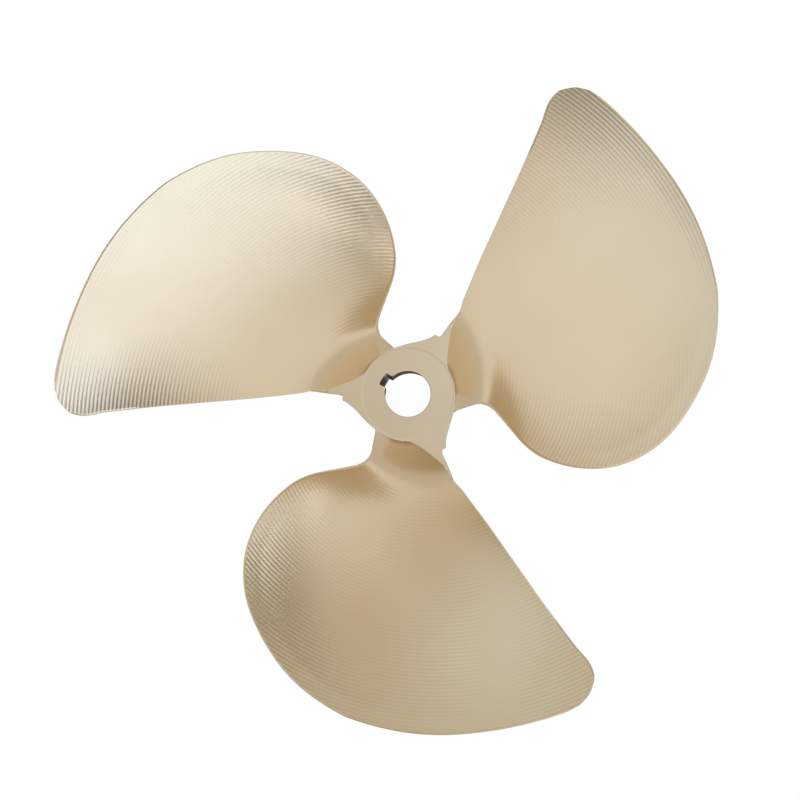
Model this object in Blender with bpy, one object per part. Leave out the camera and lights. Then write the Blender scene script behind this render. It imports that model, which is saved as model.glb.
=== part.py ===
# Three-blade ship propeller, cast and machined in one piece.
# Metres, +Z along the shaft axis towards the stern, +X through the keyway.
import math

import bmesh
import bpy
from mathutils import Vector

# Blades, all alike
BLADE_COUNT = 3
FIRST_BLADE_ANGLE = math.radians(31.7)

# Hub, faced flat at both ends
HUB_LENGTH = 0.0826
HUB_RADIUS = 0.0342

# Tapered bore, one in sixteen on the diameter, wide end forward
BORE_FORWARD_RADIUS = 0.01905
BORE_AFT_RADIUS = 0.01647
BORE_OVERRUN = 0.004
BORE_SEGMENTS = 48

# Keyway, its floor parallel to the shaft
KEYWAY_WIDTH = 0.0090
KEYWAY_FLOOR = 0.0213

# Blade face: height = -pitch * angle + camber * angle^2 + rake * radius - drop
PITCH_PER_RADIAN = 0.4572 / (2 * math.pi)
FACE_CAMBER = 0.01365
RAKE = 0.1007
FACE_DROP = 0.0069

# Where blade and root fillet meet, at the trailing and at the leading edge, in millimetres
ROOT_TRAIL_RADIUS = 71.0
ROOT_LEAD_RADIUS = 64.0
ROOT_SLANT_END = 110.0

# The fillet is a quarter circle over the distance from the blade. That distance is
# taken on a rolled-out hub whose radius differs before and behind the trailing edge.
FILLET_TRAIL_MEASURE = 0.021
FILLET_FACE_MEASURE = 0.155
FILLET_MEASURE_BLEND = math.radians(8.0)
FILLET_MEASURE_ANGLE = math.radians(2.0)
FILLET_BLEND = 400.0
NECK_BEND = math.radians(4.9)

# Blade edges as (radius in millimetres, angle in degrees from the blade's own line)
TRAILING_EDGE = [
    (71.0, 1.0), (76.0, 0.6), (84.0, 0.0), (103.0, -1.3), (140.4, -2.4), (178.6, -3.0),
    (215.5, -3.6), (235.5, -3.9), (241.4, -3.4), (246.8, -2.2), (251.2, -0.6), (253.5, 1.0),
]
LEADING_EDGE = [
    (62.8, 68.8), (66.5, 71.4), (70.3, 73.6), (74.0, 75.6), (77.7, 77.4), (81.6, 79.1),
    (85.5, 80.6), (89.4, 81.9), (93.4, 82.9), (104.4, 84.5), (118.9, 84.4), (133.8, 83.2),
    (147.7, 81.3), (160.3, 79.0), (171.7, 76.3), (182.1, 73.2), (191.5, 69.9), (199.8, 66.3),
    (207.2, 62.7), (214.2, 59.1), (220.9, 55.5), (226.6, 52.0), (231.1, 48.7), (234.5, 45.8),
    (239.1, 41.7),
]
TIP_EDGE = [
    (253.5, 1.0), (254.0, 2.9), (253.3, 5.3), (252.1, 8.5), (250.7, 12.7), (249.2, 17.8),
    (247.9, 23.6), (245.8, 29.4), (243.2, 34.7), (240.8, 39.0), (239.1, 41.7),
]

# Section thickness as (radius, thickness), all in millimetres
MIDDLE_THICKNESS = [(64, 17.5), (76, 15.0), (120, 11.0), (180, 7.4), (220, 5.4), (254, 3.6)]
TRAILING_THICKNESS = [(71, 5.0), (76, 4.2), (103, 2.9), (140, 2.4), (254, 2.1)]
LEADING_THICKNESS = [(64, 5.0), (76, 4.0), (140, 2.6), (254, 2.0)]
CROWN_POWER = 0.8
TIP_THINS_FROM = 225.0
LEAD_NOSE = 1.6

# Rows from root to tip, by the radius of their trailing end in millimetres
ROW_RADII = [
    71.0, 76.0, 82.0, 89.0, 98.0, 110.0, 124.0, 140.0, 157.0, 174.0, 190.0, 205.0, 218.0,
    228.0, 236.0, 242.0, 247.0, 251.0, 253.5,
]
ROW_SKEW_START = 180.0
TIP_ROW_START = 150.0
CHORD_STEPS = 18
EDGE_STEPS = 4

# Rings of the hub wall from the blade root out to the line half way to the next root
RINGS = 11
CORNER_STEPS = 6

# Height of the centre of mass below the aft face, so that it is the origin
CENTRE_BELOW_AFT_FACE = 0.0366

MM = 0.001


def lookup(table, x):
    """Straight-line interpolation in a table of (x, y) pairs."""
    if x <= table[0][0]:
        return table[0][1]
    for (x0, y0), (x1, y1) in zip(table, table[1:]):
        if x <= x1:
            return y0 + (y1 - y0) * (x - x0) / (x1 - x0)
    return table[-1][1]


def mix(a, b, t):
    return a + (b - a) * t


def share(x, low, high):
    """0 up to low, 1 from high on, a straight line between."""
    return min(1.0, max(0.0, (x - low) / (high - low)))


def face_point(radius, angle):
    """Height of the blade face and its unit tangent and normal in the unrolled cylinder."""
    height = -PITCH_PER_RADIAN * angle + FACE_CAMBER * angle ** 2 + RAKE * radius - FACE_DROP
    slope = -PITCH_PER_RADIAN + 2 * FACE_CAMBER * angle
    tangent = Vector((radius, slope)).normalized()
    normal = Vector((-tangent.y, tangent.x))
    return height, tangent, normal


def blade_row(trail_radius):
    """One closed loop of points around the blade, as (radius, angle, height)."""
    tip = TIP_EDGE[0][0]
    shoulder = TIP_EDGE[-1][0]
    tip_curve = [(angle, radius) for radius, angle in TIP_EDGE]
    skew = share(trail_radius, ROW_SKEW_START, tip) ** 1.5
    slant = 1 - share(trail_radius, ROOT_TRAIL_RADIUS, ROOT_SLANT_END)
    lead_radius = trail_radius - (tip - shoulder) * skew
    lead_radius -= (ROOT_TRAIL_RADIUS - ROOT_LEAD_RADIUS) * slant
    bulge = share(trail_radius, TIP_ROW_START, tip) ** 2
    thin = share(trail_radius, TIP_THINS_FROM, tip) ** 2
    trail_angle = lookup(TRAILING_EDGE, trail_radius)
    lead_angle = lookup(LEADING_EDGE, lead_radius)
    trail_end = lookup(TRAILING_THICKNESS, trail_radius) * MM
    lead_end = lookup(LEADING_THICKNESS, lead_radius) * MM
    points = []
    for step in range(CHORD_STEPS + 1):
        u = step / CHORD_STEPS
        radius = mix(trail_radius, lead_radius, u)
        tip_angle = mix(TIP_EDGE[0][1], TIP_EDGE[-1][1], u)
        radius += bulge * (lookup(tip_curve, tip_angle) - mix(tip, shoulder, u))
        edge = mix(trail_end, lead_end, u)
        crown = (lookup(MIDDLE_THICKNESS, radius) * MM - edge) * (1 - thin)
        thickness = edge + crown * (4 * u * (1 - u)) ** CROWN_POWER
        radius *= MM
        angle = math.radians(mix(trail_angle, lead_angle, u))
        height, tangent, normal = face_point(radius, angle)
        angle += trail_end * (1 - u) ** 6 * normal.x / radius
        angle -= lead_end * LEAD_NOSE / 2 * u ** 12 * tangent.x / radius
        height, tangent, normal = face_point(radius, angle)
        points.append((radius, Vector((radius * angle, height)), tangent, normal, thickness))
    loop = [(radius, centre) for radius, centre, tangent, normal, thickness in points]
    radius, centre, tangent, normal, thickness = points[-1]
    for step in range(1, EDGE_STEPS):
        turn = math.pi * step / EDGE_STEPS
        out = normal * (math.cos(turn) - 1) + tangent * math.sin(turn) * LEAD_NOSE
        loop.append((radius, centre + out * thickness / 2))
    for radius, centre, tangent, normal, thickness in reversed(points):
        loop.append((radius, centre - normal * thickness))
    radius, centre, tangent, normal, thickness = points[0]
    for step in range(1, EDGE_STEPS):
        loop.append((radius, centre - normal * thickness * (1 - step / EDGE_STEPS)))
    return [(radius, flat.x / radius, flat.y) for radius, flat in loop]


def cap_faces(loop):
    """Faces that close one end row, face side to back side."""
    count = CHORD_STEPS + 1
    lead = count + EDGE_STEPS - 1
    faces = []
    for step in range(CHORD_STEPS):
        back = lead + CHORD_STEPS - step
        faces.append((loop[step], loop[step + 1], loop[back - 1], loop[back]))
    faces.append(tuple(loop[CHORD_STEPS:lead + 1]))
    faces.append(tuple(loop[lead + CHORD_STEPS:]) + (loop[0],))
    return faces


def rolled_out(angle):
    """Distance round the rolled-out hub at an angle from the blade's line."""
    bend = (angle - FILLET_MEASURE_ANGLE) / FILLET_MEASURE_BLEND
    beyond = FILLET_MEASURE_BLEND * math.log1p(math.exp(bend))
    return FILLET_TRAIL_MEASURE * angle + (FILLET_FACE_MEASURE - FILLET_TRAIL_MEASURE) * beyond


def distance(spot, outline):
    """Shortest distance from a point to a closed outline."""
    best = math.inf
    for start, stop in zip(outline, outline[1:] + outline[:1]):
        side = stop - start
        along = min(1.0, max(0.0, (spot - start).dot(side) / side.length_squared))
        best = min(best, (spot - start - side * along).length)
    return best


def hub_grid():
    """Rings of (radius, angle, height) from one blade root to the lines half way to the next."""
    root = blade_row(ROOT_TRAIL_RADIUS)
    outline = [Vector((rolled_out(angle), height)) for radius, angle, height in root]
    spread = 2 * math.pi / BLADE_COUNT
    root_middle = mix(ROOT_TRAIL_RADIUS, ROOT_LEAD_RADIUS, 0.5) * MM
    span = CHORD_STEPS - 2 * CORNER_STEPS
    flat = 2 * CORNER_STEPS + EDGE_STEPS

    def middle_angle(height):
        """Angle of the middle of the blade root at a height."""
        level = height - RAKE * root_middle + FACE_DROP + MIDDLE_THICKNESS[0][1] * MM / 3
        under_root = PITCH_PER_RADIAN ** 2 + 4 * FACE_CAMBER * level
        return (PITCH_PER_RADIAN - math.sqrt(under_root)) / (2 * FACE_CAMBER)

    top = middle_angle(0.0)
    low = middle_angle(-HUB_LENGTH)
    border = []
    for step in range(span):
        height = -HUB_LENGTH * step / span
        border.append((middle_angle(height) + spread / 2, height))
    for step in range(flat):
        border.append((low + spread * (0.5 - step / flat), -HUB_LENGTH))
    for step in range(span):
        height = -HUB_LENGTH * (1 - step / span)
        border.append((middle_angle(height) - spread / 2, height))
    for step in range(flat):
        border.append((top + spread * (step / flat - 0.5), 0.0))
    border = border[-CORNER_STEPS:] + border[:-CORNER_STEPS]
    rings = [root]
    for ring in range(1, RINGS):
        reach = 1 - math.cos(math.pi / 2 * ring / (RINGS - 1))
        row = []
        for index, (root_point, border_point) in enumerate(zip(root, border)):
            angle = mix(root_point[1], border_point[0], reach)
            height = mix(root_point[2], border_point[1], reach)
            row.append(fillet_point(angle, height, outline, spread, index, reach))
        rings.append(row)
    return rings


def fillet_point(angle, height, outline, spread, index, reach):
    """Radius of the hub wall at an angle and a height, with the neck drawn in at the leading edge."""
    total = 0.0
    for turn in (-spread, 0.0, spread):
        gap = distance(Vector((rolled_out(angle - turn), height)), outline)
        total += math.exp(-FILLET_BLEND * gap)
    start = mix(ROOT_TRAIL_RADIUS, ROOT_LEAD_RADIUS, share(angle, 0.0, math.radians(69.0))) * MM
    depth = start - HUB_RADIUS
    gap = min(depth, max(0.0, -math.log(total) / FILLET_BLEND))
    radius = start - math.sqrt(max(0.0, 2 * depth * gap - gap ** 2))
    chord = chord_share(index)
    fall = (start - radius) / depth
    bend = fall ** 1.2 * (1 - fall) ** 1.5 / 0.1565
    return radius, angle - NECK_BEND * bend * chord ** 2 * (1 - reach ** 4), height


def chord_share(index):
    """How far a loop point is from the trailing edge towards the leading edge, 0 to 1."""
    if index <= CHORD_STEPS:
        return index / CHORD_STEPS
    back = index - CHORD_STEPS - EDGE_STEPS
    if back < 0:
        return 1.0
    return max(0.0, 1 - back / CHORD_STEPS)


def new_object(name, mesh):
    thing = bpy.data.objects.new(name, mesh)
    bpy.context.scene.collection.objects.link(thing)
    return thing


def place(point, blade_angle):
    """From a blade's (radius, angle, height) to the propeller's own frame."""
    radius, angle, height = point
    turn = blade_angle - angle
    return Vector((radius * math.cos(turn), radius * math.sin(turn), height))


def loft(shape, rows, blade_angle):
    """Quads between closed rows of points, one row after the other."""
    loops = [[shape.verts.new(place(point, blade_angle)) for point in row] for row in rows]
    count = len(loops[0])
    for lower, upper in zip(loops, loops[1:]):
        for i in range(count):
            j = (i + 1) % count
            shape.faces.new((lower[i], lower[j], upper[j], upper[i]))
    return loops


def make_casting(name):
    """Blades and hub as one closed surface, before the bore is cut."""
    shape = bmesh.new()
    blade_rows = [blade_row(radius) for radius in ROW_RADII]
    hub_rows = hub_grid()
    for index in range(BLADE_COUNT):
        blade_angle = FIRST_BLADE_ANGLE + index * 2 * math.pi / BLADE_COUNT
        loops = loft(shape, blade_rows, blade_angle)
        for face in cap_faces(loops[-1]):
            shape.faces.new(face)
        loft(shape, hub_rows, blade_angle)
    bmesh.ops.remove_doubles(shape, verts=shape.verts, dist=0.000002)
    open_edges = [edge for edge in shape.edges if edge.is_boundary]
    bmesh.ops.holes_fill(shape, edges=open_edges)
    bmesh.ops.recalc_face_normals(shape, faces=shape.faces)
    bmesh.ops.triangulate(shape, faces=shape.faces)
    mesh = bpy.data.meshes.new(name)
    shape.to_mesh(mesh)
    shape.free()
    return new_object(name, mesh)


def turned(name, profile, segments):
    """A closed solid of revolution from (radius, height) points that start and end on the axis."""
    shape = bmesh.new()
    previous = None
    for radius, height in profile:
        spot = shape.verts.new((radius, 0, height))
        if previous:
            shape.edges.new((previous, spot))
        previous = spot
    bmesh.ops.spin(
        shape, geom=shape.verts[:] + shape.edges[:], cent=(0, 0, 0), axis=(0, 0, 1),
        angle=2 * math.pi, steps=segments, use_merge=True)
    bmesh.ops.remove_doubles(shape, verts=shape.verts, dist=0.00001)
    bmesh.ops.recalc_face_normals(shape, faces=shape.faces)
    mesh = bpy.data.meshes.new(name)
    shape.to_mesh(mesh)
    shape.free()
    return new_object(name, mesh)


def block(name, low, high):
    """A box between two corners."""
    shape = bmesh.new()
    bmesh.ops.create_cube(shape, size=1)
    size = Vector(high) - Vector(low)
    centre = (Vector(high) + Vector(low)) / 2
    bmesh.ops.scale(shape, vec=size, verts=shape.verts)
    bmesh.ops.translate(shape, vec=centre, verts=shape.verts)
    mesh = bpy.data.meshes.new(name)
    shape.to_mesh(mesh)
    shape.free()
    return new_object(name, mesh)


def combine(target, tool, operation):
    """Join or cut a solid with another, which stays in the scene as a hidden tool."""
    tool.display_type = 'WIRE'
    tool.hide_render = True
    step = target.modifiers.new(tool.name, 'BOOLEAN')
    step.operation = operation
    step.object = tool
    step.solver = 'EXACT'


def bronze():
    material = bpy.data.materials.new("bronze")
    material.use_nodes = True
    shader = material.node_tree.nodes["Principled BSDF"]
    shader.inputs["Base Color"].default_value = (0.72, 0.60, 0.42, 1)
    shader.inputs["Metallic"].default_value = 1.0
    shader.inputs["Roughness"].default_value = 0.35
    return material


for thing in list(bpy.data.objects):
    bpy.data.objects.remove(thing)

# Hub and blades, cast in one
propeller = make_casting("propeller")

# Tapered bore and keyway
taper = (BORE_FORWARD_RADIUS - BORE_AFT_RADIUS) / HUB_LENGTH
bore = turned("bore", [
    (0, BORE_OVERRUN), (BORE_AFT_RADIUS - taper * BORE_OVERRUN, BORE_OVERRUN),
    (BORE_FORWARD_RADIUS + taper * BORE_OVERRUN, -HUB_LENGTH - BORE_OVERRUN),
    (0, -HUB_LENGTH - BORE_OVERRUN)], BORE_SEGMENTS)
combine(propeller, bore, 'DIFFERENCE')
keyway = block(
    "keyway", (0, -KEYWAY_WIDTH / 2, -HUB_LENGTH - BORE_OVERRUN),
    (KEYWAY_FLOOR, KEYWAY_WIDTH / 2, BORE_OVERRUN))
combine(propeller, keyway, 'DIFFERENCE')

# Everything is drawn from the aft face, then raised so that the centre of mass is the origin
for thing in bpy.data.objects:
    thing.location.z = CENTRE_BELOW_AFT_FACE

propeller.data.materials.append(bronze())
propeller.data.shade_smooth()
propeller.data.set_sharp_from_angle(angle=math.radians(30))
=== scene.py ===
import bmesh
import bpy
import numpy as np
from mathutils import Matrix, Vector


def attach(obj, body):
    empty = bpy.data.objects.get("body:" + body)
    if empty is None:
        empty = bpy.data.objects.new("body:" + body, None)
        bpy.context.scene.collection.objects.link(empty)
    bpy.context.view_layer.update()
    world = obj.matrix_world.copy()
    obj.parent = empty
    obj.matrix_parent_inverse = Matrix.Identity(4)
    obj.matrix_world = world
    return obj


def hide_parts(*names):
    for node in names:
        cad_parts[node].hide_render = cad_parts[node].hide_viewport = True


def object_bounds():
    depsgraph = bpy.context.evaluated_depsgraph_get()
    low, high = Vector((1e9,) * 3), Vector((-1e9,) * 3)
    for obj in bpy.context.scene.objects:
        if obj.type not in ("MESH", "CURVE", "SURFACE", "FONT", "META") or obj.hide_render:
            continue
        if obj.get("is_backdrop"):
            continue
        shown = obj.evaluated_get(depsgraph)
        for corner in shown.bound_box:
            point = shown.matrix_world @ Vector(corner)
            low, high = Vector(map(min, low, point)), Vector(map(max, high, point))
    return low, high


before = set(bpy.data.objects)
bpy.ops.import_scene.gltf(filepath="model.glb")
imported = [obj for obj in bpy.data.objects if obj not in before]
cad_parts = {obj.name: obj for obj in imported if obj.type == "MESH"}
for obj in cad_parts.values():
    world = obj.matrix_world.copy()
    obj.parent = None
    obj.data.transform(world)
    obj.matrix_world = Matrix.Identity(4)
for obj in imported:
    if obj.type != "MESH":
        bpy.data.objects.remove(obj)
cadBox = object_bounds()
print("packed part", [[round(float(c), 4) for c in corner] for corner in cadBox])

mm = 0.001
weld = 1e-6          # metres, closer points are one
sharpAngle = 32      # degrees, steeper edges stay sharp

propeller = {
    "aftHeight": 36.6,       # aft hub face above the origin
    "hubLength": 82.6,
    "hubRadius": 34.2,
    "bladeAngles": (31.7, 151.7, 271.7),
    "pitch": 457.2,          # advance per turn at the trailing edge
    "camber": 13.65,         # how far the face curls back towards the leading edge
    "rake": 0.1007,          # height gained per radius
    "drop": 6.9,
    "rootTrail": 71.0,       # where blade and fillet meet, at the trailing edge
    "rootLead": 64.0,        # and at the leading edge
    "slantEnd": 110.0,       # rows of the blade are concentric from here on
}

# Blade edges: radius and angle from the blade's own line, clockwise from aft
trailingEdge = [
    (71, 2), (76, 1), (79.5, .4), (84, 0), (103, -1.3), (140.4, -2.4), (178.6, -3), (215.5, -3.6),
    (235.5, -3.9), (241.4, -3.4), (246.8, -2.2), (251.2, -.6), (253.5, 1)]
leadingEdge = [
    (62.8, 68.8), (66.5, 71.4), (70.3, 73.6), (74, 75.6), (77.7, 77.4), (81.6, 79.1),
    (85.5, 80.6), (89.4, 81.9), (93.4, 82.9), (104.4, 84.5), (118.9, 84.4), (133.8, 83.2),
    (147.7, 81.3), (160.3, 79), (171.7, 76.3), (182.1, 73.2), (191.5, 69.9), (199.8, 66.3),
    (207.2, 62.7), (214.2, 59.1), (220.9, 55.5), (226.6, 52), (231.1, 48.7), (234.5, 45.8),
    (239.1, 41.7)]
tipEdge = [  # angle, radius
    (1, 253.5), (2.9, 254), (5.3, 253.3), (8.5, 252.1), (12.7, 250.7), (17.8, 249.2),
    (23.6, 247.9), (29.4, 245.8), (34.7, 243.2), (39, 240.8), (41.7, 239.1)]

blade = {
    "middleThickness": [(64, 17.5), (76, 15), (120, 11), (180, 7.4), (220, 5.4), (254, 3.6)],
    "trailThickness": [(71, 5), (76, 4.2), (103, 2.9), (140, 2.4), (254, 2.1)],
    "leadThickness": [(64, 5), (76, 4), (140, 2.6), (254, 2)],
    "crownPower": 0.8,
    "tipThinsFrom": 225,
    "skewFrom": 180, "skewPower": 1.5,  # rows turn towards the tip's own line from here on
    "bulgeFrom": 150,        # rows take on the tip's curve from here on
    "tipRoundFrom": 235,     # rows are drawn in from here on, by the length of the round tip
    "trailPower": 6,         # how close to the trailing edge its own form stays
    "nosePower": 12,         # and how close to the leading edge
    "roundShare": 0.06,      # share of the chord in which the tip's rounding starts
    "edgeCloseness": 0.6,    # how much closer the columns stand at both edges
    "nose": 1.6,             # length of the rounded leading edge for its half thickness
    "trailRound": 0.5,       # how far the trailing end bulges between its two edges
    "chordSteps": 90, "endSteps": 10, "rows": 440, "tipRows": 8,
    "ridgeSpacing": 2.8,     # cutter pitch
    "ridgeTurn": 15.5,       # how far a furrow winds inwards, a radian
    "ridgeDepth": 0.05,
    "ridgeFade": 2,          # distance over which the furrows start outside the fillet
    "rootSpan": 1.2,         # angle in radians over which the fillet's end moves inwards
    "bandWidth": 13.0,       # relief ground along the leading edge
    "bandSlope": 0.03, "bandCorner": 1.0,
    "bandEdgeFrom": 85, "bandRadii": (88, 112), "bandAngles": (8, 26),
}


def smoothCurve(points, x):
    # smooth line through points: cubic pieces whose slopes are averages of their neighbours'
    px, py = np.array(points, float).T
    step = np.diff(px)
    rise = np.diff(py) / step
    slope = np.empty_like(py)
    slope[1:-1] = (rise[:-1] * step[1:] + rise[1:] * step[:-1]) / (step[:-1] + step[1:])
    slope[0] = rise[0]
    slope[-1] = rise[-1]
    x = np.clip(x, px[0], px[-1])
    i = np.clip(np.searchsorted(px, x, side="right") - 1, 0, len(step) - 1)
    t = (x - px[i]) / step[i]
    start = (2 * t ** 3 - 3 * t ** 2 + 1) * py[i] + (t ** 3 - 2 * t ** 2 + t) * step[i] * slope[i]
    return start + (3 * t ** 2 - 2 * t ** 3) * py[i + 1] + (t ** 3 - t ** 2) * step[i] * slope[i + 1]


def smoothStep(low, high, x):
    # 0 below low, 1 above high, level at both
    t = np.clip((x - low) / (high - low), 0, 1)
    return t * t * (3 - 2 * t)


def share(x, low, high):
    # 0 up to low, 1 from high on, a straight line between
    return np.clip((x - low) / (high - low), 0, 1)


def faceHeight(radius, angle):
    # height = -pitch per radian * angle + camber * angle squared + rake * radius - drop
    p = propeller
    height = -p["pitch"] / (2 * np.pi) * angle + p["camber"] * angle ** 2
    return height + p["rake"] * radius - p["drop"]


def faceFrame(radius, angle):
    # unit vectors along and off the face, on the unrolled cylinder
    slope = -propeller["pitch"] / (2 * np.pi) + 2 * propeller["camber"] * angle
    size = np.hypot(radius, slope)
    along = np.stack([radius / size, slope / size], -1)
    off = np.stack([-slope / size, radius / size], -1)
    return along, off


def distance(points, outline):
    # shortest distance from each point to a line through the outline's points
    best = np.full(len(points), 1e9)
    for start, stop in zip(outline[:-1], outline[1:]):
        side = stop - start
        t = np.clip(((points - start) @ side) / max(side @ side, 1e-12), 0, 1)
        best = np.minimum(best, np.hypot(*(points - start - t[:, None] * side).T))
    return best


def edgeGap(radius, angle):
    # distance in plan from the leading edge, and a weight that fades the band out at both ends
    b = blade
    lead = np.array([point for point in leadingEdge if point[0] > b["bandEdgeFrom"]], float)
    tip = np.array(tipEdge[::-1], float)[:, ::-1]
    line = np.concatenate([lead, tip])
    turn = np.radians(line[:, 1])
    outline = np.stack([line[:, 0] * np.cos(turn), line[:, 0] * np.sin(turn)], -1)
    points = np.stack([radius * np.cos(angle), radius * np.sin(angle)], -1).reshape(-1, 2)
    gap = distance(points, outline).reshape(radius.shape)
    fade = smoothStep(*b["bandRadii"], radius) * smoothStep(*b["bandAngles"], np.degrees(angle))
    return gap, fade


def faceRelief(radius, angle):
    # ground band: falls off evenly towards the edge; ridges: furrows of a round cutter
    # that went round the shaft, one parabola for each pass
    b, p = blade, propeller
    gap, fade = edgeGap(radius, angle)
    inside, corner = b["bandWidth"] - gap, b["bandCorner"]
    bend = np.maximum(inside + corner, 0) ** 2 / (4 * corner)
    band = -b["bandSlope"] * fade * np.where(inside > corner, inside, bend)
    phase = (radius + b["ridgeTurn"] * angle) / b["ridgeSpacing"] % 1 - 0.5
    start = p["rootLead"] + (p["rootTrail"] - p["rootLead"]) * (1 - share(angle, 0, b["rootSpan"]))
    furrow = b["ridgeDepth"] * (4 * phase ** 2 - 0.5)
    ridge = furrow * smoothStep(start, start + b["ridgeFade"], radius)
    return band, ridge


def chordShares():
    # steps from the trailing to the leading edge, finer towards both
    t = np.linspace(0, 1, blade["chordSteps"] + 1)
    return t - blade["edgeCloseness"] * np.sin(2 * np.pi * t) / (2 * np.pi)


def tipLine(u):
    # radius of the tip's outline at a share of its angle
    first, last = tipEdge[0][0], tipEdge[-1][0]
    return smoothCurve(tipEdge, first + (last - first) * u)


def leadRadius(trail):
    # radius at which the row that leaves the trailing edge at this one meets the leading edge
    p, b = propeller, blade
    tip, shoulder = tipEdge[0][1], tipEdge[-1][1]
    slant = 1 - share(trail, p["rootTrail"], p["slantEnd"])
    lead = trail - (tip - shoulder) * share(trail, b["skewFrom"], tip) ** b["skewPower"]
    return lead - (p["rootTrail"] - p["rootLead"]) * slant


def edgeLeans(u, lead):
    # outward direction in plan at the leading edge and at the tip, as an angle from the
    # chord towards the radius: square to the line between two neighbouring edge points
    slope = np.radians(smoothCurve(leadingEdge, lead) - smoothCurve(leadingEdge, lead - 1)) * lead
    leadLean = np.arctan2(-slope, 1) * share(lead, propeller["rootLead"], propeller["slantEnd"])
    tipRadius = tipLine(u[0])
    tipTurn = np.radians(tipEdge[-1][0] - tipEdge[0][0])
    tipSlope = np.gradient(tipRadius) / (tipTurn * np.gradient(u[0]) * tipRadius)
    nearLead = u ** blade["nosePower"]
    return leadLean, np.arctan2(1, -tipSlope) * (1 - nearLead) + leadLean * nearLead


def bladeLoops(trail, closing):
    # closed loops round the blade, one a row: the face from the trailing to the leading
    # edge, the round nose, the back and the trailing end, which stands along the shaft;
    # closing turns from 0 to a quarter turn over the last rows and rounds the tip
    b = blade
    u = chordShares()[None, :]
    trail = trail[:, None]
    closing = closing[:, None]
    tip, shoulder = tipEdge[0][1], tipEdge[-1][1]
    lead = leadRadius(trail)
    bulge = share(trail, b["bulgeFrom"], tip) ** 2
    radius = trail * (1 - u) + lead * u + bulge * (tipLine(u) - tip * (1 - u) - shoulder * u)
    angle = smoothCurve(trailingEdge, trail) * (1 - u) + smoothCurve(leadingEdge, lead) * u
    angle = np.radians(angle)
    trailEnd = smoothCurve(b["trailThickness"], trail)
    leadEnd = smoothCurve(b["leadThickness"], lead)
    edge = trailEnd * (1 - u) + leadEnd * u
    thin = share(trail, b["tipThinsFrom"], tip) ** 2
    crown = (smoothCurve(b["middleThickness"], radius) - edge) * (1 - thin)
    thick = edge + crown * (4 * u * (1 - u)) ** b["crownPower"]

    # the face stops short of the outline by the length of the rounded edge
    leadLean, lean = edgeLeans(u, lead)
    nearTrail, nearLead = (1 - u) ** b["trailPower"], u ** b["nosePower"]
    away = smoothStep(0, b["roundShare"], u)
    along, off = faceFrame(radius, angle)
    leadPull = b["nose"] * leadEnd / 2 * nearLead
    tipRound = share(trail, b["tipRoundFrom"], tip) ** 2
    tipPull = b["nose"] * thick / 2 * (1 - nearLead) * away * tipRound
    inwards = leadPull * np.cos(leadLean) + tipPull * np.cos(lean)
    angle = angle + (b["trailRound"] * nearTrail - inwards * along[..., 0]) / radius
    radius = radius - leadPull * np.sin(leadLean) - tipPull * np.sin(lean)

    along, off = faceFrame(radius, angle)
    band, ridge = faceRelief(radius, angle)
    front = np.stack([radius * angle, faceHeight(radius, angle)], -1)
    back = front - off * thick[..., None]
    back = back + along * (nearTrail * thick * off[..., 0] / along[..., 0])[..., None]
    front = front + off * (band + ridge)[..., None]
    back = back - off * ridge[..., None]
    middle, half = (front + back) / 2, (front - back) / 2
    halfLength = np.hypot(half[..., 0], half[..., 1])
    push = b["nose"] * halfLength * away * np.sin(closing)
    spread = half * np.cos(closing)[..., None]
    middlePushed = middle + along * (push * np.cos(lean))[..., None]
    front, back = middlePushed + spread, middlePushed - spread
    rise = push * np.sin(lean)

    count = b["endSteps"] - 1
    steps = np.linspace(0, 1, count + 2)[1:-1][None, :]
    turn = closing + (np.pi - 2 * closing) * steps
    nosePush = b["nose"] * halfLength[:, -1:] * np.sin(turn)
    nose = middle[:, -1:] + half[:, -1:] * np.cos(turn)[..., None]
    nose = nose + along[:, -1:] * (nosePush * np.cos(leadLean))[..., None]
    turn = np.pi * (steps - 0.5)
    tail = middle[:, :1] + spread[:, :1] * np.sin(turn)[..., None]
    tail[..., 0] -= b["trailRound"] * np.sqrt(np.cos(turn)) * np.cos(closing)
    loop = np.concatenate([front, nose, back[:, ::-1], tail], 1)
    ends = np.repeat(radius[:, -1:], count, 1), np.repeat(radius[:, :1], count, 1)
    base = np.concatenate([radius, ends[0], radius[:, ::-1], ends[1]], 1)
    rise = np.concatenate([rise, nosePush * np.sin(leadLean), rise[:, ::-1], 0 * ends[1]], 1)
    return base + rise, loop[..., 0] / base, loop[..., 1]


def place(radius, angle, height, bladeAngle):
    # from blade coordinates to metres in the part's frame
    turn = np.radians(bladeAngle) - angle
    spot = [radius * np.cos(turn), radius * np.sin(turn), height + propeller["aftHeight"]]
    return np.stack(spot, -1) * mm


def tube(rows, columns, offset=0):
    # quads of a grid whose last column joins its first
    i, j = np.meshgrid(np.arange(rows - 1), np.arange(columns), indexing="ij")
    k = (j + 1) % columns
    low, high = i * columns, (i + 1) * columns
    quads = np.stack([low + j, low + k, high + k, high + j], -1)
    return (quads.reshape(-1, 4) + offset).tolist()


def ladder(offset):
    # closes one loop by rungs from its face to its back, so that the lid stays in the metal
    n, end = blade["chordSteps"], blade["endSteps"]
    back = 2 * n + end
    rungs = [[offset + i, offset + i + 1, offset + back - i - 1, offset + back - i] for i in range(n)]
    nose = [offset + n + i for i in range(end + 1)]
    tail = [offset] + [offset + back + i for i in range(end)]
    return rungs + [nose, tail]


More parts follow.
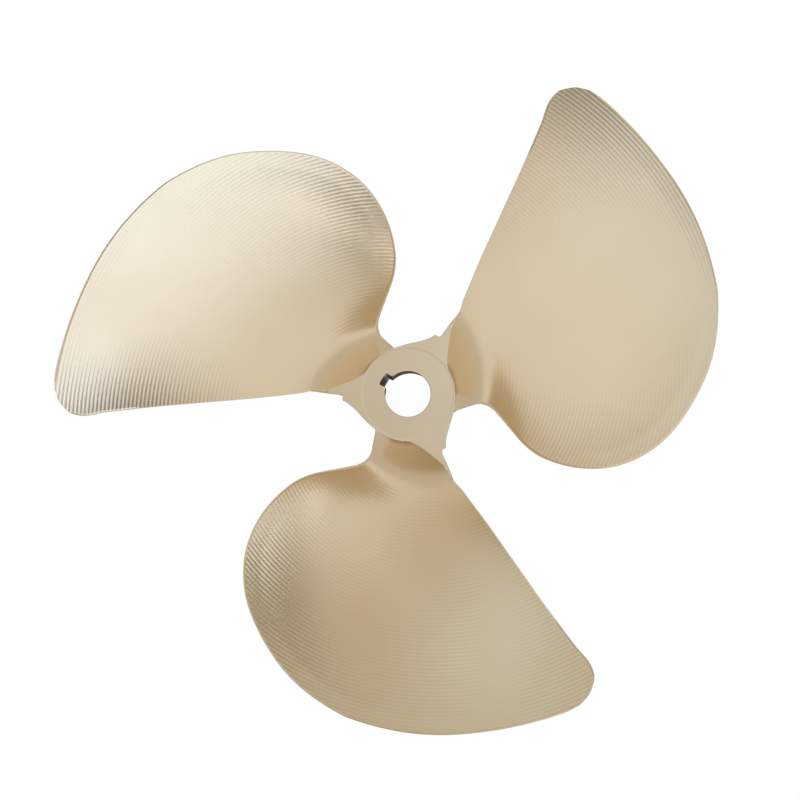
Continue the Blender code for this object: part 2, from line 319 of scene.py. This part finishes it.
def makePiece(name, vertices, faces, material):
    mesh = bpy.data.meshes.new(name)
    mesh.from_pydata(vertices.tolist(), [], faces)
    shape = bmesh.new()
    shape.from_mesh(mesh)
    bmesh.ops.remove_doubles(shape, verts=shape.verts, dist=weld)
    bmesh.ops.recalc_face_normals(shape, faces=shape.faces)
    shape.to_mesh(mesh)
    openEdges = sum(edge.is_boundary for edge in shape.edges)
    shape.free()
    mesh.shade_smooth()
    mesh.set_sharp_from_angle(angle=np.radians(sharpAngle))
    mesh.materials.append(material)
    piece = bpy.data.objects.new(name, mesh)
    bpy.context.scene.collection.objects.link(piece)
    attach(piece, "root")
    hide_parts("propeller")
    print(name, len(mesh.polygons), "faces", openEdges, "open edges")
    return piece


def makeBlades(material):
    b = blade
    tip = tipEdge[0][1]
    rows = np.linspace(propeller["rootTrail"], tip, b["rows"])
    trail = np.concatenate([rows, np.full(b["tipRows"], tip)])
    turn = np.linspace(0, np.pi / 2, b["tipRows"] + 1)[1:]
    closing = np.concatenate([np.zeros(b["rows"]), turn])
    radius, angle, height = bladeLoops(trail, closing)
    columns = radius.shape[1]
    faces = tube(len(trail), columns) + ladder(0) + ladder((len(trail) - 1) * columns)
    for number, bladeAngle in enumerate(propeller["bladeAngles"]):
        spots = place(radius, angle, height, bladeAngle).reshape(-1, 3)
        makePiece("blade_%d" % (number + 1), spots, faces, material)


hub = {
    "trailMeasure": 21.0,    # radius of the rolled-out hub before the trailing edge
    "faceMeasure": 155.0,    # and from there on
    "measureBlend": 8.0,     # degrees over which one changes into the other
    "measureAngle": 2.0,
    "blend": 0.4,            # how sharply two fillets meet
    "neckBend": 4.9,         # degrees that the neck is drawn in at the leading edge
    "crease": 0.004,         # how far from a full quarter circle the fillet starts
    "slantAngle": 69.0,      # degrees over which the fillet's start goes to rootLead
    "bendPowers": (1.2, 1.5),  # how the neck's bend starts and ends down the fillet
    "bendPeak": 0.1565,      # largest product of those two powers
    "hornAngle": 3.0,        # degrees, where the columns of the aft face stand closest
    "rings": 46,
    "corner": 26,            # columns beside each edge that run to the border's top or foot
    "faceRelief": 0.02, "reliefRadius": 33.3, "reliefStep": 0.3,
    "facedRadius": 47.3,     # the aft face is turned flat out to here
    "facedAngle": -0.3,      # where the gap side of a horn meets that radius
    "faceRows": 24, "stepRows": 7, "mouthRows": 12, "footRows": 14,
}


def rolledOut(angle):
    # distance round the rolled-out hub: two straight lines with a soft bend between them
    h = hub
    blend = np.radians(h["measureBlend"])
    bend = (angle - np.radians(h["measureAngle"])) / blend
    beyond = blend * np.logaddexp(0, bend)
    return h["trailMeasure"] * angle + (h["faceMeasure"] - h["trailMeasure"]) * beyond


def hubRings():
    # rings of (radius, angle, height) from one blade root out to the lines half way to the
    # next; the wall's radius is a quarter circle over the distance from the nearest root
    p, h = propeller, hub
    spread = 2 * np.pi / len(p["bladeAngles"])
    radius, angle, height = bladeLoops(np.array([p["rootTrail"]]), np.zeros(1))
    radius, angle, height = radius[0], angle[0], height[0]
    n, end, corner = blade["chordSteps"], blade["endSteps"], h["corner"]
    span, flat = n - 2 * corner, 2 * corner + end
    rootMiddle = (p["rootTrail"] + p["rootLead"]) / 2
    advance = p["pitch"] / (2 * np.pi)

    def middleAngle(z):
        # angle at which the middle of the root's section is at height z
        level = z - p["rake"] * rootMiddle + p["drop"] + blade["middleThickness"][0][1] / 3
        return (advance - np.sqrt(advance ** 2 + 4 * p["camber"] * level)) / (2 * p["camber"])

    bottom = -p["hubLength"]
    down = np.linspace(0, bottom, span + 1)
    turn = spread * np.arange(flat) / flat
    right = np.stack([middleAngle(down) + spread / 2, down], -1)[:-1]
    low = np.stack([middleAngle(bottom) + spread / 2 - turn, np.full(flat, bottom)], -1)
    left = np.stack([middleAngle(down) - spread / 2, down], -1)[:0:-1]
    # columns stand closest where the horn is
    horn, middle = np.radians(h["hornAngle"]), middleAngle(0.0)
    near = np.arange(flat) / flat * 2 - 1
    reachOut = spread / 2 + np.where(near < 0, horn - middle, middle - horn)
    top = np.stack([horn + reachOut * np.sign(near) * near ** 2, np.zeros(flat)], -1)
    border = np.roll(np.concatenate([right, low, left, top]), corner, 0)
    ring = np.linspace(0, 1, h["rings"])[:, None]
    reach = 1 - np.cos(ring * np.pi / 2)
    ringAngle = angle + (border[:, 0] - angle) * reach
    ringHeight = height + (border[:, 1] - height) * reach
    outline = np.stack([rolledOut(angle), height], -1)
    outline = np.concatenate([outline, outline[:1]])
    total = 0
    for turn in (-spread, 0, spread):
        points = np.stack([rolledOut(ringAngle - turn), ringHeight], -1).reshape(-1, 2)
        total = total + np.exp(-h["blend"] * distance(points, outline))
    gap = np.maximum(-np.log(total) / h["blend"], 0).reshape(ringAngle.shape)
    slant = share(ringAngle, 0, np.radians(h["slantAngle"]))
    start = p["rootTrail"] + (p["rootLead"] - p["rootTrail"]) * slant
    start = radius + (start - radius) * reach
    depth = start - p["hubRadius"]
    x = np.minimum(gap / depth, 1) * (1 - h["crease"]) + h["crease"]
    offset = np.sqrt(2 * h["crease"] - h["crease"] ** 2)
    fall = (np.sqrt(2 * x - x * x) - offset) / (1 - offset)
    fall[0] = 0
    ringRadius = start - depth * fall
    # on the gap side the trailing end runs straight in to the faced radius
    inner, outer = np.radians(h["facedAngle"]), np.radians(trailingEdge[0][1])
    limit = h["facedRadius"] + (p["rootTrail"] - h["facedRadius"]) * share(ringAngle, inner, outer)
    ringRadius = np.minimum(ringRadius, limit)
    # the neck's bend grows with the square of each column's share of the chord
    u = chordShares()
    chord = np.concatenate([u, np.ones(end - 1), u[::-1], np.zeros(end - 1)])
    start, stop = h["bendPowers"]
    bend = fall ** start * (1 - fall) ** stop / h["bendPeak"]
    ringAngle = ringAngle - np.radians(h["neckBend"]) * bend * chord ** 2 * (1 - reach ** 4)
    topColumns = (np.arange(flat) - corner - end) % len(angle)
    lowColumns = np.arange(flat) + n - corner
    return ringRadius, ringAngle, ringHeight, topColumns, lowColumns


bore = {
    "aftRadius": 16.47, "forwardRadius": 19.05, "edgeBreak": 0.3,
    "keyWidth": 9.0, "keyFloor": 21.3, "wallRows": 40,
    "dullBeyond": 0.4,       # dull metal reaches this far outside the keyway's floor
    "dullShort": 0.1,        # and stops this short of both faces
}


def boreRadius(turn, height, grow=0.0):
    # the taper, opened out round angle 0 to the keyway's two walls and its floor
    b = bore
    depth = -height / propeller["hubLength"]
    taper = b["aftRadius"] + (b["forwardRadius"] - b["aftRadius"]) * depth + grow
    turn = np.abs((turn + np.pi) % (2 * np.pi) - np.pi)
    wall = (b["keyWidth"] / 2 + grow) / np.maximum(np.sin(turn), 1e-6)
    floor = np.where(turn < 1, (b["keyFloor"] + grow) / np.maximum(np.cos(turn), 1e-6), 0)
    return np.maximum(taper, np.minimum(wall, floor))


def nearTurn(turn, other):
    # other angle, taken within half a turn of the first
    return turn + (other - turn + np.pi) % (2 * np.pi) - np.pi


def makeHub(material):
    # wall patches of three blade roots, then rows from the aft rim down the bore to the
    # forward rim
    p, b, h = propeller, bore, hub
    radius, angle, height, topColumns, lowColumns = hubRings()
    rings, columns = radius.shape
    vertices, faces = [], []
    rim, foot = [], []
    for number, bladeAngle in enumerate(p["bladeAngles"]):
        offset = number * rings * columns
        faces += tube(rings, columns, offset) + ladder(offset)
        vertices.append(place(radius, angle, height, bladeAngle).reshape(-1, 3))
        turn = np.radians(bladeAngle) - angle[-1]
        rim.append(np.stack([turn[topColumns], radius[-1, topColumns]]))
        foot.append(np.stack([turn[lowColumns], radius[-1, lowColumns]]))
    offset = len(rim) * rings * columns
    rim = np.concatenate(rim[::-1], 1)
    foot = np.concatenate(foot[::-1], 1)
    turn = np.unwrap(rim[0])
    order = np.argsort(-nearTurn(turn[0] - np.pi, foot[0]))
    foot = foot[:, order]
    shift = int(np.argmin(np.abs(nearTurn(turn[0], foot[0]) - turn[0])))
    foot = np.roll(foot, -shift, 1)
    # four columns of the bore are moved to the keyway's corners
    boreTurn = turn.copy()
    half = b["keyWidth"] / 2
    corners = [np.arctan2(half, b["keyFloor"]), np.arcsin(half / b["aftRadius"])]
    for corner in [sign * c for sign in (1, -1) for c in corners]:
        away = (boreTurn - corner + np.pi) % (2 * np.pi) - np.pi
        nearest = np.argmin(np.abs(away))
        boreTurn[nearest] -= away[nearest]
    footTurn = nearTurn(boreTurn, foot[0])
    bottom = -p["hubLength"]
    outer, inner = h["reliefRadius"] + h["reliefStep"], h["reliefRadius"] - h["reliefStep"]
    mouth = boreRadius(boreTurn, 0, b["edgeBreak"])
    mouthLow = boreRadius(boreTurn, bottom, b["edgeBreak"])
    top = -h["faceRelief"]
    rows = []
    for t in np.linspace(0, 1, h["faceRows"], endpoint=False):
        rows.append((turn, rim[1] + (outer - rim[1]) * t, 0))
    for t in np.linspace(0, 1, h["stepRows"]):
        rows.append((turn, outer + (inner - outer) * t + 0 * turn, top * smoothStep(0, 1, t)))
    for t in np.linspace(0, 1, h["mouthRows"] + 1)[1:]:
        a = turn + (boreTurn - turn) * t
        rows.append((a, inner + (mouth - inner) * t, top))
    for z in np.linspace(top - b["edgeBreak"], bottom + b["edgeBreak"], b["wallRows"]):
        rows.append((boreTurn, boreRadius(boreTurn, z), z))
    for t in np.linspace(0, 1, h["footRows"]):
        a = boreTurn + (footTurn - boreTurn) * t
        rows.append((a, mouthLow + (foot[1] - mouthLow) * t, bottom))
    spots = [place(r, 0 * a, z + 0 * a, np.degrees(a)) for a, r, z in rows]
    vertices.append(np.concatenate(spots))
    faces += tube(len(rows), len(turn), offset)
    piece = makePiece("hub", np.concatenate(vertices), faces, material)
    dullBore(piece)


def dullBore(piece):
    # the dull metal goes on every face between the hub's two ends and inside the keyway
    p, b = propeller, bore
    piece.data.materials.append(boreMaterial())
    polygons = piece.data.polygons
    middles = np.empty(3 * len(polygons), np.float32)
    polygons.foreach_get("center", middles)
    x, y, z = middles.reshape(-1, 3).T / mm
    low = p["aftHeight"] - p["hubLength"] + b["dullShort"]
    high = p["aftHeight"] - hub["faceRelief"] - b["dullShort"]
    inside = (np.hypot(x, y) < b["keyFloor"] + b["dullBeyond"]) & (z > low) & (z < high)
    polygons.foreach_set("material_index", inside.astype(np.int32))


boreFinishAndHighlight = {
    # the keyway floor's near white colour is a painted highlight
    "colour": (0.20, 0.155, 0.095), "floorDark": (0.05, 0.033, 0.013), "paintedHighlight": (0.88, 0.87, 0.84),
    "roughness": 0.6, "shine": 0.15,
    "highlightEdge": (0.5, 3.2),   # millimetres across the keyway, from dark brown to the painted highlight
    "floorDepth": 0.1,         # millimetres inside the keyway's floor that still count as it
}

finish = {
    "colour": (0.80, 0.677, 0.494), "worn": (0.74, 0.60, 0.41),
    "cloudScale": 14, "cloudDetail": 4,
    "wornClouds": (0.35, 0.8), "wornShare": 0.4,
    "roughness": 0.215, "roughSpread": 0.02, "roughClouds": (0.3, 0.7),
    "grainScale": 900, "grainStrength": 0.05, "grainDepth": 0.00003,
}


def bronzeMaterial():
    # satin bronze: slow clouds in colour and roughness, fine grain in the normal
    f = finish
    material = bpy.data.materials.new("machinedBronze")
    material.use_nodes = True
    tree = material.node_tree
    nodes, link = tree.nodes, tree.links.new
    shader = nodes["Principled BSDF"]
    shader.inputs["Metallic"].default_value = 1
    spot = nodes.new("ShaderNodeTexCoord")
    cloud = nodes.new("ShaderNodeTexNoise")
    cloud.inputs["Scale"].default_value = f["cloudScale"]
    cloud.inputs["Detail"].default_value = f["cloudDetail"]
    link(spot.outputs["Object"], cloud.inputs["Vector"])
    tint = nodes.new("ShaderNodeMix")
    tint.data_type = "RGBA"
    tint.inputs["A"].default_value = (*f["colour"], 1)
    tint.inputs["B"].default_value = (*f["worn"], 1)
    wear = nodes.new("ShaderNodeMapRange")
    wear.inputs["From Min"].default_value = f["wornClouds"][0]
    wear.inputs["From Max"].default_value = f["wornClouds"][1]
    wear.inputs["To Max"].default_value = f["wornShare"]
    link(cloud.outputs["Fac"], wear.inputs["Value"])
    link(wear.outputs["Result"], tint.inputs["Factor"])
    link(tint.outputs["Result"], shader.inputs["Base Color"])
    rough = nodes.new("ShaderNodeMapRange")
    rough.inputs["From Min"].default_value = f["roughClouds"][0]
    rough.inputs["From Max"].default_value = f["roughClouds"][1]
    rough.inputs["To Min"].default_value = f["roughness"]
    rough.inputs["To Max"].default_value = f["roughness"] + f["roughSpread"]
    link(cloud.outputs["Fac"], rough.inputs["Value"])
    link(rough.outputs["Result"], shader.inputs["Roughness"])
    grain = nodes.new("ShaderNodeTexNoise")
    grain.inputs["Scale"].default_value = f["grainScale"]
    link(spot.outputs["Object"], grain.inputs["Vector"])
    bump = nodes.new("ShaderNodeBump")
    bump.inputs["Strength"].default_value = f["grainStrength"]
    bump.inputs["Distance"].default_value = f["grainDepth"]
    link(grain.outputs["Fac"], bump.inputs["Height"])
    link(bump.outputs["Normal"], shader.inputs["Normal"])
    return material


def boreMaterial():
    # dull bore wall; the keyway's floor is dark brown along one side and near white along the other,
    # a painted highlight
    f = boreFinishAndHighlight
    material = bpy.data.materials.new("dullBore")
    material.use_nodes = True
    tree = material.node_tree
    nodes, link = tree.nodes, tree.links.new
    shader = nodes["Principled BSDF"]
    shader.inputs["Specular IOR Level"].default_value = f["shine"]
    shader.inputs["Roughness"].default_value = f["roughness"]
    spot = nodes.new("ShaderNodeTexCoord")
    axes = nodes.new("ShaderNodeSeparateXYZ")
    link(spot.outputs["Object"], axes.inputs["Vector"])
    across = nodes.new("ShaderNodeMapRange")
    across.interpolation_type = "SMOOTHSTEP"
    across.inputs["From Min"].default_value = -f["highlightEdge"][0] * mm
    across.inputs["From Max"].default_value = -f["highlightEdge"][1] * mm
    link(axes.outputs["Y"], across.inputs["Value"])
    # keyway floor: dark brown on one side, a painted highlight on the other
    floorTint = nodes.new("ShaderNodeMix")
    floorTint.data_type = "RGBA"
    floorTint.inputs["A"].default_value = (*f["floorDark"], 1)
    floorTint.inputs["B"].default_value = (*f["paintedHighlight"], 1)
    link(across.outputs["Result"], floorTint.inputs["Factor"])
    onFloor = nodes.new("ShaderNodeMath")
    onFloor.operation = "GREATER_THAN"
    onFloor.inputs[1].default_value = (bore["keyFloor"] - f["floorDepth"]) * mm
    link(axes.outputs["X"], onFloor.inputs[0])
    tint = nodes.new("ShaderNodeMix")
    tint.data_type = "RGBA"
    tint.inputs["A"].default_value = (*f["colour"], 1)
    link(onFloor.outputs["Value"], tint.inputs["Factor"])
    link(floorTint.outputs["Result"], tint.inputs["B"])
    link(tint.outputs["Result"], shader.inputs["Base Color"])
    return material


table = {
    "size": 3.0,                           # metres from the middle to an edge
    "gap": 0.0005,                         # metres between table top and part
    "shade": (0.02, 0.02, 0.02),
    "metalSees": (0.62, 0.57, 0.49),       # its light in reflections
    "cameraSees": (0.98, 0.985, 0.985),    # and in plain view
}


def makeFloor():
    # white table top, lit so brightly that no shadow shows on it
    t = table
    low, size = cadBox[0][2] - t["gap"], t["size"]
    mesh = bpy.data.meshes.new("floor")
    corners = [(-size, -size, low), (size, -size, low), (size, size, low), (-size, size, low)]
    mesh.from_pydata(corners, [], [(0, 1, 2, 3)])
    floor = bpy.data.objects.new("floor", mesh)
    bpy.context.scene.collection.objects.link(floor)
    material = bpy.data.materials.new("whiteTable")
    material.use_nodes = True
    nodes, link = material.node_tree.nodes, material.node_tree.links.new
    shader = nodes["Principled BSDF"]
    shader.inputs["Base Color"].default_value = (*t["shade"], 1)
    shader.inputs["Roughness"].default_value = 1
    shader.inputs["Specular IOR Level"].default_value = 0
    shader.inputs["Emission Strength"].default_value = 1
    path = nodes.new("ShaderNodeLightPath")
    glow = nodes.new("ShaderNodeMix")
    glow.data_type = "RGBA"
    glow.inputs["A"].default_value = (*t["metalSees"], 1)
    glow.inputs["B"].default_value = (*t["cameraSees"], 1)
    link(path.outputs["Is Camera Ray"], glow.inputs["Factor"])
    link(glow.outputs["Result"], shader.inputs["Emission Color"])
    mesh.materials.append(material)
    floor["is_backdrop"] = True


camera = {
    "spot": (43.71, -80.19, 1822.08),  # millimetres from the aft face, before the turn below
    "tilt": (-0.0416117, -0.0270670),  # radians, about the photo's right and up
    "turn": -148.3,                    # the photo's right, turned onto the keyway
    "focal": 2527.5, "across": 800,    # in pixels
    "sensor": 36,                      # millimetres
}


def photoTurn():
    # turns the photo's right, up and near directions into the part's frame
    t = np.radians(camera["turn"])
    return np.array([[np.cos(t), -np.sin(t), 0], [np.sin(t), np.cos(t), 0], [0, 0, 1]])


def makeCamera():
    c = camera
    a, b = c["tilt"]
    lean = np.array([[1, 0, 0], [0, np.cos(a), -np.sin(a)], [0, np.sin(a), np.cos(a)]])
    sway = np.array([[np.cos(b), 0, np.sin(b)], [0, 1, 0], [-np.sin(b), 0, np.cos(b)]])
    spot = photoTurn() @ np.array(c["spot"]) + [0, 0, propeller["aftHeight"]]
    data = bpy.data.cameras.new("camera")
    data.sensor_width = c["sensor"]
    data.lens = c["focal"] / c["across"] * c["sensor"]
    thing = bpy.data.objects.new("camera", data)
    pose = np.eye(4)
    pose[:3, :3] = photoTurn() @ (lean @ sway).T
    pose[:3, 3] = spot * mm
    thing.matrix_world = Matrix(pose.tolist())
    bpy.context.scene.collection.objects.link(thing)
    bpy.context.scene.camera = thing


studio = {
    "walls": (0.82, 0.80, 0.755), "darkest": (0.03, 0.025, 0.02),
    # soft lamps, glows, shades and flags: azimuth from the photo's right, angle from the
    # camera, sharpness, light added or taken away
    "patches": {
        "wideGlowRight": (14, 19, 7, (1.30, 1.70, 2.40)),
        "shadeBelow": (245, 17, 10, (-0.91, -1.12, -1.51)),
        "wideShadeLeft": (212, 48, 10, (-1.40, -1.66, -2.12)),
        "softShadeUpperRight": (39, 41, 12, (-0.27, -0.33, -0.45)),
        "glowBelowLeft": (234, 31, 12, (1.04, 1.25, 1.64)),
        "shadeRight": (359, 35, 12, (-0.95, -1.20, -1.62)),
        "glowLeft": (204, 51, 23, (1.00, 1.22, 1.61)),
        "shadeAbove": (118, 25, 35, (-0.51, -0.61, -0.75)),
        "shadeNearCamera": (116, 2, 38, (-1.71, -1.67, -1.72)),
        "flagHighAbove": (109, 51, 62, (-2.21, -2.44, -2.74)),
        "faintGlowLeft": (187, 37, 64, (0.27, 0.38, 0.53)),
        "shadeLowRight": (354, 28, 88, (-0.87, -1.04, -1.35)),
        "glowAboveLeft": (121, 44, 166, (1.10, 1.18, 1.32)),
        "flagRight": (8, 32, 311, (-2.76, -2.85, -2.93)),
        "faintFlagUpperLeft": (156, 38, 332, (-0.20, -0.25, -0.29)),
        "lampRight": (359, 34, 422, (2.90, 3.04, 3.28)),
        "flagLowRight": (318, 19, 529, (-3.19, -3.90, -5.15)),
        "flagRightOuter": (337, 26, 614, (-4.13, -4.56, -5.16)),
        "flagAbove": (94, 39, 763, (-4.60, -5.19, -6.29)),
        "lampAbove": (87, 37, 818, (2.24, 2.72, 3.65)),
        "lampRightInner": (15, 31, 895, (3.60, 3.55, 3.54)),
        "lampAboveLeft": (118, 31, 898, (2.25, 2.71, 3.20)),
        "glowOnHub": (118, 3, 120, (1.73, 1.48, 1.23)),
        "flagRightTip": (331, 28, 400, (-1.35, -1.45, -1.60)),
        "flagLeftTip": (92, 41, 300, (-1.30, -1.45, -1.60)),
        "flagBottomBlade": (132, 31, 300, (-0.70, -0.80, -0.95)),
    },
}


def makeStudio():
    # white tent round the part: walls + sum of patches, each its light times
    # exp(sharpness * (cosine - 1)), and nowhere darker than the darkest colour
    world = bpy.data.worlds.new("studio")
    world.use_nodes = True
    tree = world.node_tree
    nodes, link = tree.nodes, tree.links.new
    spot = nodes.new("ShaderNodeTexCoord")
    previous = None
    for name, (azimuth, angle, sharpness, light) in studio["patches"].items():
        a, t = np.radians(azimuth), np.radians(angle)
        axis = photoTurn() @ np.array([np.sin(t) * np.cos(a), np.sin(t) * np.sin(a), np.cos(t)])
        cosine = nodes.new("ShaderNodeVectorMath")
        cosine.operation = "DOT_PRODUCT"
        cosine.inputs[1].default_value = axis.tolist()
        link(spot.outputs["Generated"], cosine.inputs[0])
        power = nodes.new("ShaderNodeMath")
        power.operation = "MULTIPLY_ADD"
        power.inputs[1].default_value = sharpness
        power.inputs[2].default_value = -sharpness
        link(cosine.outputs["Value"], power.inputs[0])
        lobe = nodes.new("ShaderNodeMath")
        lobe.operation = "EXPONENT"
        link(power.outputs["Value"], lobe.inputs[0])
        patch = nodes.new("ShaderNodeVectorMath")
        patch.operation = "MULTIPLY_ADD"
        patch.inputs[1].default_value = light
        patch.label = name
        link(lobe.outputs["Value"], patch.inputs[0])
        if previous is None:
            patch.inputs[2].default_value = studio["walls"]
        else:
            link(previous.outputs["Vector"], patch.inputs[2])
        previous = patch
    tent = nodes.new("ShaderNodeVectorMath")
    tent.operation = "MAXIMUM"
    tent.inputs[1].default_value = studio["darkest"]
    link(previous.outputs["Vector"], tent.inputs[0])
    link(tent.outputs["Vector"], nodes["Background"].inputs["Color"])
    bpy.context.scene.world = world


bronze = bronzeMaterial()
makeBlades(bronze)
makeHub(bronze)
print("blades and hub made")
makeFloor()
makeCamera()
makeStudio()
bpy.context.scene.view_settings.view_transform = "Standard"
print("floor, studio and camera set")

sizes = {"cad": cadBox, "visual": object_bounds()}
sizes = {name: [[float(c) for c in corner] for corner in box] for name, box in sizes.items()}
print(sizes)
